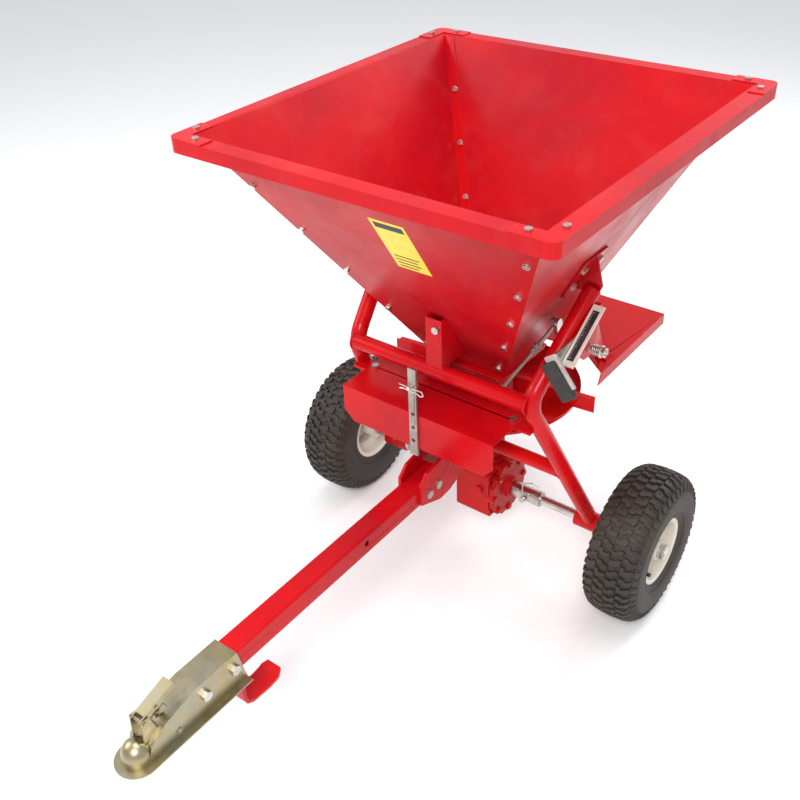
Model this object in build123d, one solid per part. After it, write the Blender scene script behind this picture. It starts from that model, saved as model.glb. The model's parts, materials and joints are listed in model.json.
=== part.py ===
from build123d import *
from math import atan2, cos, hypot, pi, radians, sin
import os

# Tow behind broadcast spreader. Millimetres. +Z is up, -Y points at the towing vehicle, and
# +X is the machine's left. The model is drawn about the middle of the hopper and saved about
# the middle of its footprint.

# ---- driving dimensions ---------------------------------------------------------------------
FOOTPRINT_Y = -344.25                     # middle of the length, seen from the hopper's middle

RIM_X, RIM_Y, RIM_Z = 867.0, 915.0, 1169.0   # hopper rim over its flanges, and its height
FLANGE_W, LIP_H, SHEET = 38.0, 28.0, 2.0
RIM_CORNER = 20.0                         # radius of the rim's four corners
BASE_Z = 590.0                            # hopper floor
BASE_X, BASE_FRONT, BASE_REAR = 97.0, -52.0, 107.0
SEAM_BOLTS = 5

DRIVE_Y, AXLE_Z = 44.0, 190.5             # spinner axis, and the axle that crosses it
TYRE_R, TYRE_W, BEAD_R = 188.0, 136.0, 76.2
GROUND_Z = AXLE_Z - TYRE_R                # height at which the tyres stand
WHEEL_X = 428.0                           # middle of each wheel
AXLE_R = 12.7                             # one inch shaft
RUN_CLEAR = 0.05                          # radial running clearance

TUBE_R, TUBE_WALL = 19.0, 2.5             # side frame tube
TUBE_TOP = (262.0, 20.0, 830.0)
TUBE_BEND = (232.0, -175.0, 636.0)
TUBE_FOOT = (299.0, DRIVE_Y, AXLE_Z)
CROSS_R, CROSS_Y, CROSS_Z = 17.0, -58.0, 396.0
BEARING_R, BEARING_IN, BEARING_OUT = 24.0, 259.0, 326.0
BUSH_R = 17.0

TOW_HALF, TOW_Z, TOW_WALL = 25.0, 358.5, 4.0      # two inch square draw bar
TOW_REAR, TOW_FRONT = -190.0, -970.0
PLATE_X, PLATE_T = 25.0, 8.0              # cheek plates that hold the draw bar and the gearbox

DISC_R, DISC_Z, DISC_T = 216.0, 484.0, 4.0
VANE_TIP, VANE_H = 268.0, 48.0
VANE_ANGLE = 5.0
SHAFT_R = 12.5
CROWN_TEETH, PINION_TEETH, MODULE = 32, 12, 3.0

SHIELD_X, SHIELD_Y = 204.0, -262.0
SHIELD_REAR, SHIELD_TOP_Z, SHIELD_LOW_Z = -106.0, 570.0, 478.0
SHIELD_T = 2.5
HOOD_X, HOOD_FRONT, HOOD_REAR, HOOD_Z = 252.0, 120.0, 452.0, 560.0

LEVER_Y, LEVER_Z = -15.0, 712.0           # lever shaft, along X
CRANK, CRANK_LEAN = 42.0, 13.0            # crank length, and its lean when the gate is shut
GATE_TRAVEL = 2 * CRANK * sin(radians(CRANK_LEAN))

COUPLER_REAR, COUPLER_TOP, COUPLER_LOW = -869.0, 386.5, 304.0
BALL_Y, BALL_Z, BALL_R = -1102.0, 323.0, 25.5
LATCH_Y, LATCH_Z, LATCH_TILT = -1082.0, 391.0, 18.0   # pivot and slope of the coupler handle

os.makedirs("parts", exist_ok=True)


# ---- helpers --------------------------------------------------------------------------------
def block(x0, x1, y0, y1, z0, z1):
    """A box between two corners."""
    return Pos((x0 + x1) / 2, (y0 + y1) / 2, (z0 + z1) / 2) * Box(x1 - x0, y1 - y0, z1 - z0)


def round_bar(start, end, radius):
    """A cylinder from one point to another."""
    start, end = Vector(*start), Vector(*end)
    line = end - start
    return Plane(start, z_dir=line) * Pos(0, 0, line.length / 2) * Cylinder(radius, line.length)


def flat_bar(start, end, width, thick, broad):
    """A rectangular bar from one point to another; its thickness lies along broad."""
    start, end = Vector(*start), Vector(*end)
    line = end - start
    side = Vector(*broad).cross(line)
    frame = Plane(start, x_dir=side, z_dir=line)
    return frame * Pos(0, 0, line.length / 2) * Box(width, thick, line.length)


def plate(points, thick, normal):
    """A flat plate: the outline's points, thickened along normal."""
    return extrude(make_face(Polyline(*points, close=True)), amount=thick, dir=Vector(*normal))


def drilled(solid, bolts):
    """A solid with the holes of the bolts that pass through it."""
    for bolt in bolts:
        solid -= bolt
    return solid


def side_plate(outline, x0, x1):
    """A plate that lies in a Y-Z plane, from x0 to x1. The outline is (y, z) points."""
    return plate([(x0, y, z) for y, z in outline], x1 - x0, (1, 0, 0))


def across(radius, x0, x1, y, z):
    """A cylinder along X."""
    return round_bar((x0, y, z), (x1, y, z), radius)


def upright(radius, x, y, z0, z1):
    """A cylinder along Z."""
    return round_bar((x, y, z0), (x, y, z1), radius)


def turned_x(profile, x, y, z):
    """A solid of revolution about an axis along X. The profile is (offset along X, radius)."""
    face = make_face(Polyline(*[(a, r, 0) for a, r in profile], close=True))
    return Pos(x, y, z) * revolve(face, Axis.X)


def hex_bolt(point, direction, size, grip, nut=True):
    """A hexagon bolt: its head sits on point and faces direction, its shank goes back through."""
    frame = Plane(Vector(*point), z_dir=Vector(*direction))
    head = extrude(RegularPolygon(size * 0.93, 6), amount=size * 0.62)
    bolt = head + Pos(0, 0, -grip / 2) * Cylinder(size / 2, grip)
    if nut:
        bolt += Pos(0, 0, -grip) * extrude(RegularPolygon(size * 0.93, 6), amount=-size * 0.6)
    return frame * bolt


def both_sides(solid):
    """A solid and its mirror image in the machine's middle plane."""
    return [solid, mirror(solid, about=Plane.YZ)]


def save(name, *solids):
    """Write a node: one solid, or several separate ones."""
    shape = solids[0] if len(solids) == 1 else Compound(children=list(solids))
    export_step(Pos(0, -FOOTPRINT_Y, -GROUND_Z) * shape, f"parts/{name}.step")


# ---- hopper ---------------------------------------------------------------------------------
MOUTH_X, MOUTH_Y = RIM_X / 2 - FLANGE_W, RIM_Y / 2 - FLANGE_W


def wall_x(z):
    """Half width of the hopper inside its side panels at a height."""
    return BASE_X + (MOUTH_X - BASE_X) * (z - BASE_Z) / (RIM_Z - BASE_Z)


def wall_y(z, sign):
    """Y of the front (-1) or rear (+1) panel's inner face at a height."""
    low = BASE_FRONT if sign < 0 else BASE_REAR
    return low + (sign * MOUTH_Y - low) * (z - BASE_Z) / (RIM_Z - BASE_Z)


def rim_space(inset, low, high):
    """The rim's rounded outline, drawn in by inset, between two heights."""
    face = RectangleRounded(RIM_X - 2 * inset, RIM_Y - 2 * inset, RIM_CORNER - inset)
    return Pos(0, 0, low) * extrude(face, amount=high - low)


def end_panel(sign):
    """Front (-1) or rear (+1) panel with its rim flange and lip."""
    low, top = wall_y(BASE_Z, sign), sign * MOUTH_Y
    corners = [(-BASE_X, low, BASE_Z), (BASE_X, low, BASE_Z), (MOUTH_X, top, RIM_Z), (-MOUTH_X, top, RIM_Z)]
    slope = atan2(abs(top - low), RIM_Z - BASE_Z)
    panel = plate(corners, SHEET, (0, sign * cos(slope), -sin(slope)))
    edge = sign * RIM_Y / 2
    rim = [(-MOUTH_X, top, RIM_Z), (MOUTH_X, top, RIM_Z), (RIM_X / 2, edge, RIM_Z), (-RIM_X / 2, edge, RIM_Z)]
    flange = plate(rim, SHEET, (0, 0, -1))
    lip = block(-RIM_X / 2, RIM_X / 2, min(edge, edge - sign * SHEET), max(edge, edge - sign * SHEET),
                RIM_Z - LIP_H, RIM_Z)
    return (panel + flange + lip) & rim_space(0, BASE_Z, RIM_Z)


def side_panel(sign):
    """Side panel with its rim flange and lip."""
    slope = atan2(MOUTH_X - BASE_X, RIM_Z - BASE_Z)
    inward = (-sign * cos(slope), 0, sin(slope))
    x_low, x_top = sign * BASE_X, sign * MOUTH_X
    corners = [(x_low, BASE_FRONT, BASE_Z), (x_low, BASE_REAR, BASE_Z),
               (x_top, MOUTH_Y, RIM_Z), (x_top, -MOUTH_Y, RIM_Z)]
    panel = plate(corners, SHEET, inward)
    edge = sign * RIM_X / 2
    rim = [(x_top, -MOUTH_Y, RIM_Z), (x_top, MOUTH_Y, RIM_Z),
           (edge, RIM_Y / 2, RIM_Z), (edge, -RIM_Y / 2, RIM_Z)]
    flange = plate(rim, SHEET, (0, 0, -1))
    lip = block(min(edge, edge - sign * SHEET), max(edge, edge - sign * SHEET),
                -RIM_Y / 2 + SHEET, RIM_Y / 2 - SHEET, RIM_Z - LIP_H, RIM_Z)
    body = (panel + flange + lip) & rim_space(0, BASE_Z, RIM_Z)
    return body - end_panel(-1) - end_panel(1) - seam_strip(sign, -1) - seam_strip(sign, 1)


def seam_strip(side, end, width=30.0):
    """The strip that lies on the inside of an end panel, beside the corner."""
    low, top = wall_y(BASE_Z, end), end * MOUTH_Y
    slope = atan2(abs(top - low), RIM_Z - BASE_Z)
    inside = [(side * BASE_X, low, BASE_Z), (side * (BASE_X - width), low, BASE_Z),
              (side * (MOUTH_X - width), top, RIM_Z), (side * MOUTH_X, top, RIM_Z)]
    strip = plate(inside, SHEET, (0, -end * cos(slope), sin(slope)))
    return strip & block(-500, 500, -500, 500, BASE_Z, RIM_Z - SHEET)


def corner_cap(side, end):
    """Folded cap over a rim corner: an L-shaped top, a rounded outer corner and a skirt."""
    leg, band, thick, skirt = 92.0, FLANGE_W - 4, 2.5, 26.0
    corner_x, corner_y = side * (RIM_X / 2), end * (RIM_Y / 2)
    outline = [(corner_x, corner_y), (corner_x - side * leg, corner_y),
               (corner_x - side * leg, corner_y - end * band),
               (corner_x - side * band, corner_y - end * band),
               (corner_x - side * band, corner_y - end * leg), (corner_x, corner_y - end * leg)]
    top = plate([(x, y, RIM_Z) for x, y in outline], thick, (0, 0, 1))
    near = Pos(corner_x, corner_y, RIM_Z) * Box(2 * skirt, 2 * skirt, 2 * LIP_H)
    wall = (rim_space(0, RIM_Z - LIP_H, RIM_Z) - rim_space(SHEET, RIM_Z - LIP_H, RIM_Z)) & near
    return (top & rim_space(0, RIM_Z, RIM_Z + thick)) + wall


def seam_bolts():
    """Bolts down each of the four seams, and two through each corner cap."""
    bolts = []
    step = (RIM_Z - 110 - BASE_Z - 38) / (SEAM_BOLTS - 1)
    for side in (-1, 1):
        for end in (-1, 1):
            slope = atan2(abs(end * MOUTH_Y - wall_y(BASE_Z, end)), RIM_Z - BASE_Z)
            outward = (0, end * cos(slope), -sin(slope))
            for row in range(SEAM_BOLTS):
                z = BASE_Z + 38 + row * step
                x = side * (wall_x(z) - 19)
                point = (x, wall_y(z, end) + outward[1] * SHEET, z + outward[2] * SHEET)
                bolts.append(hex_bolt(point, outward, 8, SHEET * 2))
            for along_x, along_y in ((62, FLANGE_W / 2), (FLANGE_W / 2, 62)):
                point = (side * (RIM_X / 2 - along_x), end * (RIM_Y / 2 - along_y), RIM_Z + 2.5)
                bolts.append(hex_bolt(point, (0, 0, 1), 8, SHEET + 2.5))
    return bolts


PORT_X, PORT_W, PORT_L, PORT_Y = 55.0, 54.0, 18.0, 27.0     # outlet ports, either side of the shaft


def hopper_floor():
    """Bottom plate with the two outlet ports and the shaft hole."""
    floor = block(-BASE_X - 7, BASE_X + 7, BASE_FRONT - 18, BASE_REAR + 17, BASE_Z - 4, BASE_Z)
    floor -= upright(SHAFT_R + 1.0, 0, DRIVE_Y, BASE_Z - 10, BASE_Z + 10)
    for port_x in (-PORT_X, PORT_X):
        floor -= Pos(port_x, PORT_Y, BASE_Z) * Box(PORT_W, PORT_L, 30)
    return floor


# ---- shutter, its rod and its lever -----------------------------------------------------------
SHUTTER_LOW, SHUTTER_T, SHUTTER_X = BASE_Z - 8.8, 4.0, 88.5
ROD_LOW = (SHUTTER_X + 8, BASE_FRONT - 27, SHUTTER_LOW - 4)
ROD_TOP = (200.0, LEVER_Y - CRANK * sin(radians(CRANK_LEAN)), LEVER_Z + CRANK * cos(radians(CRANK_LEAN)))


def shutter():
    """Sliding plate under the floor. At rest it covers the ports; slid back, its holes meet them."""
    sheet = block(-SHUTTER_X, SHUTTER_X, BASE_FRONT - 32, BASE_REAR + 3, SHUTTER_LOW, SHUTTER_LOW + SHUTTER_T)
    sheet -= Pos(0, DRIVE_Y, SHUTTER_LOW) * Box(2 * (SHAFT_R + 4), 2 * (SHAFT_R + 24), 20)
    for port_x in (-PORT_X, PORT_X):
        sheet -= Pos(port_x, PORT_Y - GATE_TRAVEL, SHUTTER_LOW) * Box(PORT_W, PORT_L, 30)
    lug = block(SHUTTER_X - 40, SHUTTER_X + 14, BASE_FRONT - 32, BASE_FRONT - 20.5,
                SHUTTER_LOW, SHUTTER_LOW + SHUTTER_T)
    pin = upright(5, *ROD_LOW[:2], SHUTTER_LOW - 9, SHUTTER_LOW + SHUTTER_T)
    return sheet + lug + pin


def shutter_guides():
    """Two angle rails that carry the shutter."""
    wall = block(SHUTTER_X + 1, SHUTTER_X + 9, BASE_FRONT + 8, BASE_REAR + 17, BASE_Z - 15, BASE_Z - 4)
    lip = block(SHUTTER_X - 8, SHUTTER_X + 1, BASE_FRONT + 8, BASE_REAR + 17, BASE_Z - 15, BASE_Z - 9.4)
    return both_sides(wall + lip)


def gate_rod():
    """Rod from the shutter's pin up to the crank, with an eye at each end."""
    low, top = Vector(*ROD_LOW) + Vector(16, 2, 6), Vector(*ROD_TOP) - Vector(0, 0, 12)
    eye = upright(9, ROD_LOW[0], ROD_LOW[1], ROD_LOW[2] - 3, ROD_LOW[2] + 3)
    neck = round_bar(Vector(*ROD_LOW) + Vector(6, 0.6, 0), low + Vector(1.5, 1, 2), 2.9)
    eye = (eye + neck) - upright(5.05, ROD_LOW[0], ROD_LOW[1], ROD_LOW[2] - 9, ROD_LOW[2] + 9)
    stem = round_bar(low, top, 4.5)
    fork = across(11, ROD_TOP[0] - 3, ROD_TOP[0] + 3, ROD_TOP[1], ROD_TOP[2])
    slot = across(5.6, ROD_TOP[0] - 9, ROD_TOP[0] + 9, ROD_TOP[1], ROD_TOP[2])
    slot += across(5.6, ROD_TOP[0] - 9, ROD_TOP[0] + 9, ROD_TOP[1], ROD_TOP[2] + 1.5)
    slot += block(ROD_TOP[0] - 9, ROD_TOP[0] + 9, ROD_TOP[1] - 5.6, ROD_TOP[1] + 5.6,
                  ROD_TOP[2], ROD_TOP[2] + 1.5)
    return eye + stem + (fork - slot)


def gate_rod_nuts():
    """Two lock nuts on the rod's threaded upper part."""
    low, top = Vector(*ROD_LOW) + Vector(16, 2, 6), Vector(*ROD_TOP) - Vector(0, 0, 12)
    line = (top - low).normalized()
    nuts = []
    for back in (62.0, 76.0):
        frame = Plane(top - line * back, z_dir=line)
        nuts.append(frame * (extrude(RegularPolygon(8.5, 6), amount=9) - Cylinder(4.5, 60)))
    return nuts


ARM_X0, ARM_X1 = 273.5, 278.0
ARM_FRONT, ARM_TOP = -150.0, 763.5
HANDLE_TILT = 37.7                        # the handle's slope, outward and down


def handle_frame():
    """Frame at the top of the lever's handle: -Z runs down the handle, -X across it."""
    return Location((ARM_X0, ARM_FRONT + 3, ARM_TOP), (0, -HANDLE_TILT, 0))


def control_lever():
    """Flat arm on the lever shaft, folded outward into a handle."""
    outline = [(2, 722), (-30, 738), (-62, ARM_TOP), (ARM_FRONT, ARM_TOP), (ARM_FRONT, 734), (-78, 731),
               (-26, 698), (-8, 696), (4, 706)]
    arm = side_plate(outline, ARM_X0, ARM_X1) - across(9, 200, 320, LEVER_Y, LEVER_Z)
    handle = handle_frame() * Pos(-15, 0, -42) * Box(30, 6, 84)
    return arm + handle


def lever_grip():
    """Flat moulded grip over the handle."""
    body = handle_frame() * Pos(-27.5, 0, -57.5) * Box(37, 17, 91)
    body = fillet(body.edges(), 5)
    return body - control_lever()


def lever_shaft():
    """Cross shaft through the quadrant, with the crank and its pin at the inner end."""
    shaft = across(9, 204, QUAD_OUT + 2, LEVER_Y, LEVER_Z)
    thread = across(7, QUAD_OUT, 318, LEVER_Y, LEVER_Z)
    crank = across(14, 206, 214, LEVER_Y, LEVER_Z) + across(11, 206, 214, *ROD_TOP[1:])
    crank += flat_bar((210, LEVER_Y, LEVER_Z), (210, *ROD_TOP[1:]), 22, 8, (1, 0, 0))
    pin = across(5, 192, 208, *ROD_TOP[1:])
    return shaft + thread + crank + pin


def lever_spring():
    """Compression spring that presses the lever against the quadrant."""
    turns, pitch, wire, coil = 4, 4.4, 1.5, 10.4
    path = Helix(pitch=pitch, height=turns * pitch, radius=coil)
    section = Plane(path @ 0, z_dir=path % 0) * Circle(wire)
    spring = sweep(section, path=path, is_frenet=True)
    return Location((290.6, LEVER_Y, LEVER_Z), (0, 90, 0)) * spring


def lever_nuts():
    """Washer and lock nut at the outer end of the lever shaft."""
    washer = across(14, 310, 312.4, LEVER_Y, LEVER_Z)
    nut = Plane((312.4, LEVER_Y, LEVER_Z), z_dir=(1, 0, 0)) * extrude(RegularPolygon(12, 6), amount=9)
    return (washer + nut) - across(7, 300, 330, LEVER_Y, LEVER_Z)


QUAD_IN, QUAD_OUT = 279.0, 283.0
LEDGE_TOP, LEDGE_LOW = (-3.0, 809.0), (-129.0, 727.5)     # the scale's ledge, in Y and Z
LEDGE_DOWN = Vector(0, 0.543, -0.840)     # square to the ledge


def ledge_outline():
    """Corners of the scale's ledge."""
    outer = QUAD_IN + 27
    return [(QUAD_IN, *LEDGE_TOP), (outer, *LEDGE_TOP), (outer, *LEDGE_LOW), (QUAD_IN, *LEDGE_LOW)]


def quadrant():
    """Bracket beside the side tube: the web that carries the lever shaft, and the scale's ledge."""
    web = [(14, 800), LEDGE_TOP, LEDGE_LOW, (-125, 715), (-62, 714), (-36, 692), (-2, 690), (14, 706)]
    body = side_plate(web, QUAD_IN, QUAD_OUT)
    ledge = plate(ledge_outline(), 3, LEDGE_DOWN)
    stay = flat_bar((268, 16, 796), (283, 16, 796), 24, 6, (0, 0, 1))
    body = body + ledge + stay
    body -= across(9 + RUN_CLEAR, 260, 320, LEVER_Y, LEVER_Z)
    return body - side_tube(1, TUBE_R)


def scale_plate():
    """Pale backing strip of the scale, on the quadrant's ledge."""
    return plate(ledge_outline(), 3, LEDGE_DOWN * -1)


# ---- frame ------------------------------------------------------------------------------------
def side_tube(side, radius):
    """Bent side tube as a solid of the given radius: top, elbow, foot."""
    top, bend, foot = [Vector(side * x, y, z) for x, y, z in (TUBE_TOP, TUBE_BEND, TUBE_FOOT)]
    elbow = 40.0
    upper, lower = (top - bend).normalized(), (foot - bend).normalized()
    start, end = bend + upper * elbow, bend + lower * elbow
    path = Line(top, start) + TangentArc(start, end, tangent=-upper) + Line(end, foot)
    section = Plane(top, z_dir=start - top) * Circle(radius)
    return sweep(section, path=path)


def frame_tube(side):
    """Side tube, open at the top and closed onto the bearing tube."""
    tube = side_tube(side, TUBE_R) - side_tube(side, TUBE_R - TUBE_WALL)
    return tube - across(BEARING_R, side * 200, side * 400, DRIVE_Y, AXLE_Z)


def joined_tube(y, z, radius, reach):
    """Cross tube between the two side tubes, coped to fit them."""
    tube = across(radius, -reach, reach, y, z)
    tube -= side_tube(1, TUBE_R) + side_tube(-1, TUBE_R)
    tube = sorted(tube.solids(), key=lambda s: s.volume)[-1]
    return tube - across(radius - TUBE_WALL, -reach + 40, reach - 40, y, z)


def bearing_tube():
    """Short tube that houses the axle bushes."""
    return across(BEARING_R, BEARING_IN, BEARING_OUT, DRIVE_Y, AXLE_Z) - across(
        BUSH_R, BEARING_IN, BEARING_OUT, DRIVE_Y, AXLE_Z)


def axle_bushes():
    """Flanged-length plain bushes, one at each end of the bearing tubes."""
    bushes = []
    for start in (BEARING_IN, BEARING_OUT - 20):
        bush = across(BUSH_R, start, start + 20, DRIVE_Y, AXLE_Z)
        bushes += both_sides(bush - across(AXLE_R + RUN_CLEAR, start, start + 20, DRIVE_Y, AXLE_Z))
    return bushes


def front_bracket():
    """Channel that stands on the crossbar and holds the front panel."""
    y0, z0, z1, half, thick = -186.0, 652.0, 772.0, 21.0, 3.0
    slope = (MOUTH_Y + BASE_FRONT) / (RIM_Z - BASE_Z)
    back = wall_y(z0, -1) - SHEET * 1.3
    back_top = back - slope * (z1 - z0)
    cheek = side_plate([(y0, z0), (back, z0), (back_top, z1), (y0, z1)], half - thick, half)
    web = block(-half, half, y0, y0 + thick, z0, z1)
    body = web + cheek + mirror(cheek, about=Plane.YZ)
    return body - across(TUBE_R, -60, 60, TUBE_BEND[1], TUBE_BEND[2])


def tube_bracket():
    """Plate on the hopper's side with a fin that is welded to the top of the side tube."""
    z0, z1, thick = 822.0, 912.0, 5.0
    pad = [(wall_x(z0) + SHEET * 0.2, -34, z0), (wall_x(z0) + SHEET * 0.2, 66, z0),
           (wall_x(z1) + SHEET * 0.2, 66, z1), (wall_x(z1) + SHEET * 0.2, -34, z1)]
    slope = atan2(MOUTH_X - BASE_X, RIM_Z - BASE_Z)
    body = plate(pad, thick, (cos(slope), 0, -sin(slope)))
    fin = [(wall_x(z0) + 2, 17, z0), (276, 17, z0), (284, 17, 842), (wall_x(z1) + 4, 17, z1 - 4)]
    body += plate(fin, 6, (0, 1, 0))
    return body - side_tube(1, TUBE_R)


def cheek_plate():
    """Plate beside the draw bar: it carries the draw bar, the cross member and the gearbox."""
    outline = [(-288, 341), (-216, 313), (-176, 315), (-60, 361), (92, 361), (92, 424),
               (-36, 440), (-100, 444), (-262, 418), (-288, 394)]
    body = side_plate(outline, PLATE_X, PLATE_X + PLATE_T)
    return body - across(CROSS_R, 0, 100, CROSS_Y, CROSS_Z)


def front_shield():
    """Folded guard in front of the spinner: a level top and an upright face with cut corners."""
    cut = 26.0
    top = block(-SHIELD_X, SHIELD_X, SHIELD_Y, SHIELD_REAR, SHIELD_TOP_Z - SHIELD_T, SHIELD_TOP_Z)
    face = plate([(-SHIELD_X, SHIELD_Y, SHIELD_TOP_Z), (SHIELD_X, SHIELD_Y, SHIELD_TOP_Z),
                  (SHIELD_X, SHIELD_Y, SHIELD_LOW_Z + cut), (SHIELD_X - cut, SHIELD_Y, SHIELD_LOW_Z),
                  (-SHIELD_X + cut, SHIELD_Y, SHIELD_LOW_Z), (-SHIELD_X, SHIELD_Y, SHIELD_LOW_Z + cut)],
                 SHIELD_T, (0, 1, 0))
    return top + face


def shield_tab(side):
    """Tab welded to a side tube, under the shield's top, that the shield is bolted to."""
    near, far = sorted((side * 172, side * 242))
    low = SHIELD_TOP_Z - SHIELD_T
    tab = block(near, far, -178, -136, low - 6, low) - side_tube(side, TUBE_R)
    return sorted(tab.solids(), key=lambda s: s.volume)[-1]


def crossbar():
    """Cross tube between the bends."""
    return joined_tube(TUBE_BEND[1], TUBE_BEND[2], TUBE_R, TUBE_BEND[0])


def shield_strap():
    """Flat bar on the shield's face with a row of holes; it stands up past the fold."""
    strap = block(-10.5, 10.5, SHIELD_Y - 6, SHIELD_Y, 462, 690)
    for z in (502, 537, 573, 647):
        strap -= Pos(0, SHIELD_Y, z) * Rot(90, 0, 0) * Cylinder(4.5, 40)
    return strap


STRAP_PIN_Z = 647.0


def strap_pin():
    """Headed pin through the strap, drilled for the spring clip."""
    y = SHIELD_Y - 6
    pin = round_bar((0, y - 13, STRAP_PIN_Z), (0, y + 12, STRAP_PIN_Z), 4.5)
    pin += round_bar((0, y + 7, STRAP_PIN_Z), (0, y + 12, STRAP_PIN_Z), 8)
    return pin - across(1.9, -20, 20, y - 7, STRAP_PIN_Z)


def r_clip():
    """Spring clip: a straight leg through the pin, and a humped leg with a loop outside it."""
    y, z, wire = SHIELD_Y - 13, STRAP_PIN_Z, 1.5
    leg = across(wire, -28, 22, y, z)
    route = FilletPolyline((22, y, z), (32, y, z), (36, y, z - 9), (28, y, z - 13), (14, y, z - 7.5),
                           (2, y, z - 9.5), (-14, y, z - 7.0), (-27, y, z - 10), radius=2.6)
    hump = sweep(Plane((22, y, z), z_dir=(1, 0, 0)) * Circle(wire), path=route)
    return leg + hump


def rear_hood():
    """Guard over the rear of the spinner with turned-down side lips and cut front corners."""
    thick, lip = 2.5, 26.0
    outline = [(-HOOD_X, HOOD_REAR), (HOOD_X, HOOD_REAR), (HOOD_X, HOOD_FRONT), (172, 184), (-172, 184),
               (-HOOD_X, HOOD_FRONT)]
    sheet = plate([(x, y, HOOD_Z) for x, y in outline], thick, (0, 0, 1))
    edge = [(HOOD_FRONT, HOOD_Z + thick), (HOOD_REAR, HOOD_Z + thick), (HOOD_REAR, HOOD_Z - lip),
            (HOOD_FRONT - 12, HOOD_Z - lip)]
    lips = side_plate(edge, HOOD_X - thick, HOOD_X)
    return sheet + lips + mirror(lips, about=Plane.YZ)


def hood_stay():
    """Flat stay from the rear hood up to the side tube, with a foot bolted to the hood."""
    x = 222.0
    foot = block(x - 14, x + 14, 172, 206, HOOD_Z + 2.5, HOOD_Z + 7.5)
    leg = flat_bar((x, 174, HOOD_Z + 5), (259, 14, 812), 28, 5, (1, 0, 0.1))
    stay = (foot + leg) & block(0, 400, -100, 300, HOOD_Z + 2.5, 900)
    return stay - side_tube(1, TUBE_R)


def draw_bar():
    """Square tube with a cross hole."""
    bar = block(-TOW_HALF, TOW_HALF, TOW_FRONT, TOW_REAR, TOW_Z - TOW_HALF, TOW_Z + TOW_HALF)
    bar = fillet(bar.edges().filter_by(Axis.Y), 5)
    inner = TOW_HALF - TOW_WALL
    bar -= block(-inner, inner, TOW_FRONT - 5, TOW_REAR + 5, TOW_Z - inner, TOW_Z + inner)
    return bar - across(7, -60, 60, -474, TOW_Z + 4)


def skid_foot():
    """J-shaped flat foot under the draw bar, behind the coupler."""
    half = 25.0
    bar_low = TOW_Z - TOW_HALF
    outer = [(-868, bar_low), (-868, 246), (-862, 228), (-846, 218), (-800, 215), (-778, 217), (-757, 226),
             (-759, 234), (-780, 225.5), (-800, 223), (-843, 226), (-855, 233), (-860, 248), (-860, bar_low)]
    plan = [(-half, -880), (half, -880), (half, -772), (half - 9, -755), (9 - half, -755), (-half, -772)]
    return side_plate(outer, -half, half) & plate([(x, y, 150) for x, y in plan], 250, (0, 0, 1))


# ---- gearbox and spinner ------------------------------------------------------------------------
BOX_X, NECK_R = 48.0, 34.0
BOX_FRONT, BOX_REAR, BOX_LOW, BOX_TOP = -33.0, 110.0, 127.0, 262.0
COVER_R, COVER_T = 80.0, 14.0


def octagon_x(radius, x0, x1):
    """Eight-sided plate about the axle, thickened along X."""
    face = Plane((x0, DRIVE_Y, AXLE_Z), z_dir=(1, 0, 0)) * RegularPolygon(radius, 8, rotation=22.5)
    return extrude(face, amount=x1 - x0, dir=(1, 0, 0))


def gearbox_housing():
    """Cast housing: the chamber, the tall neck for the spinner shaft, and ears for the cheek plates."""
    chamber = block(-BOX_X, BOX_X, BOX_FRONT, BOX_REAR, BOX_LOW, BOX_TOP)
    chamber = fillet(chamber.edges().filter_by(Axis.X), 16)
    flange = octagon_x(COVER_R, BOX_X - 12, BOX_X)
    boss = across(30, -BOX_X - 14, -BOX_X + 2, DRIVE_Y, AXLE_Z)
    neck = upright(NECK_R, 0, DRIVE_Y, BOX_TOP - 4, 360.5)
    neck += upright(42, 0, DRIVE_Y, BOX_TOP - 2, BOX_TOP + 14)
    neck += upright(24.5, 0, DRIVE_Y, 360, 448)
    ears = block(-PLATE_X, PLATE_X, DRIVE_Y - 46, DRIVE_Y + 46, 360, 420)
    body = chamber + flange + boss + neck + ears
    body -= block(-BOX_X + 7, BOX_X, BOX_FRONT + 12, BOX_REAR - 8, BOX_LOW + 7, BOX_TOP - 6)
    body -= across(BUSH_R, -BOX_X - 8, 0, DRIVE_Y, AXLE_Z)
    return body - upright(18, 0, DRIVE_Y, BOX_TOP - 20, 470)


def gearbox_cover():
    """Side cover with the bearing boss that the input shaft comes out of."""
    body = octagon_x(COVER_R, BOX_X, BOX_X + COVER_T)
    body += across(28, BOX_X + COVER_T - 1, BOX_X + COVER_T + 14, DRIVE_Y, AXLE_Z)
    return body - across(BUSH_R, BOX_X - 5, BOX_X + COVER_T + 20, DRIVE_Y, AXLE_Z)


def gearbox_bushes():
    """Bushes for the input shaft and the spinner shaft."""
    out = BOX_X + COVER_T + 14
    bushes = [across(BUSH_R, x0, x1, DRIVE_Y, AXLE_Z) - across(AXLE_R + RUN_CLEAR, x0, x1, DRIVE_Y, AXLE_Z)
              for x0, x1 in ((-BOX_X - 8, -BOX_X + 7), (out - 24, out))]
    for z0 in (BOX_TOP + 8, 424):
        sleeve, bore = [upright(r, 0, DRIVE_Y, z0, z0 + 24) for r in (18, SHAFT_R + RUN_CLEAR)]
        bushes.append(sleeve - bore)
    return bushes


def gearbox_bolts():
    """Cover bolts around the side cover, and the oil level plug on the front."""
    bolts = []
    for turn in range(8):
        angle = radians(45 * turn)
        y, z = DRIVE_Y + 67 * cos(angle), AXLE_Z + 67 * sin(angle)
        bolts.append(hex_bolt((BOX_X + COVER_T, y, z), (1, 0, 0), 9, COVER_T + 12))
    bolts.append(hex_bolt((22, BOX_FRONT, 214), (0, -1, 0), 12, 6, nut=False))
    return bolts


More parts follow.
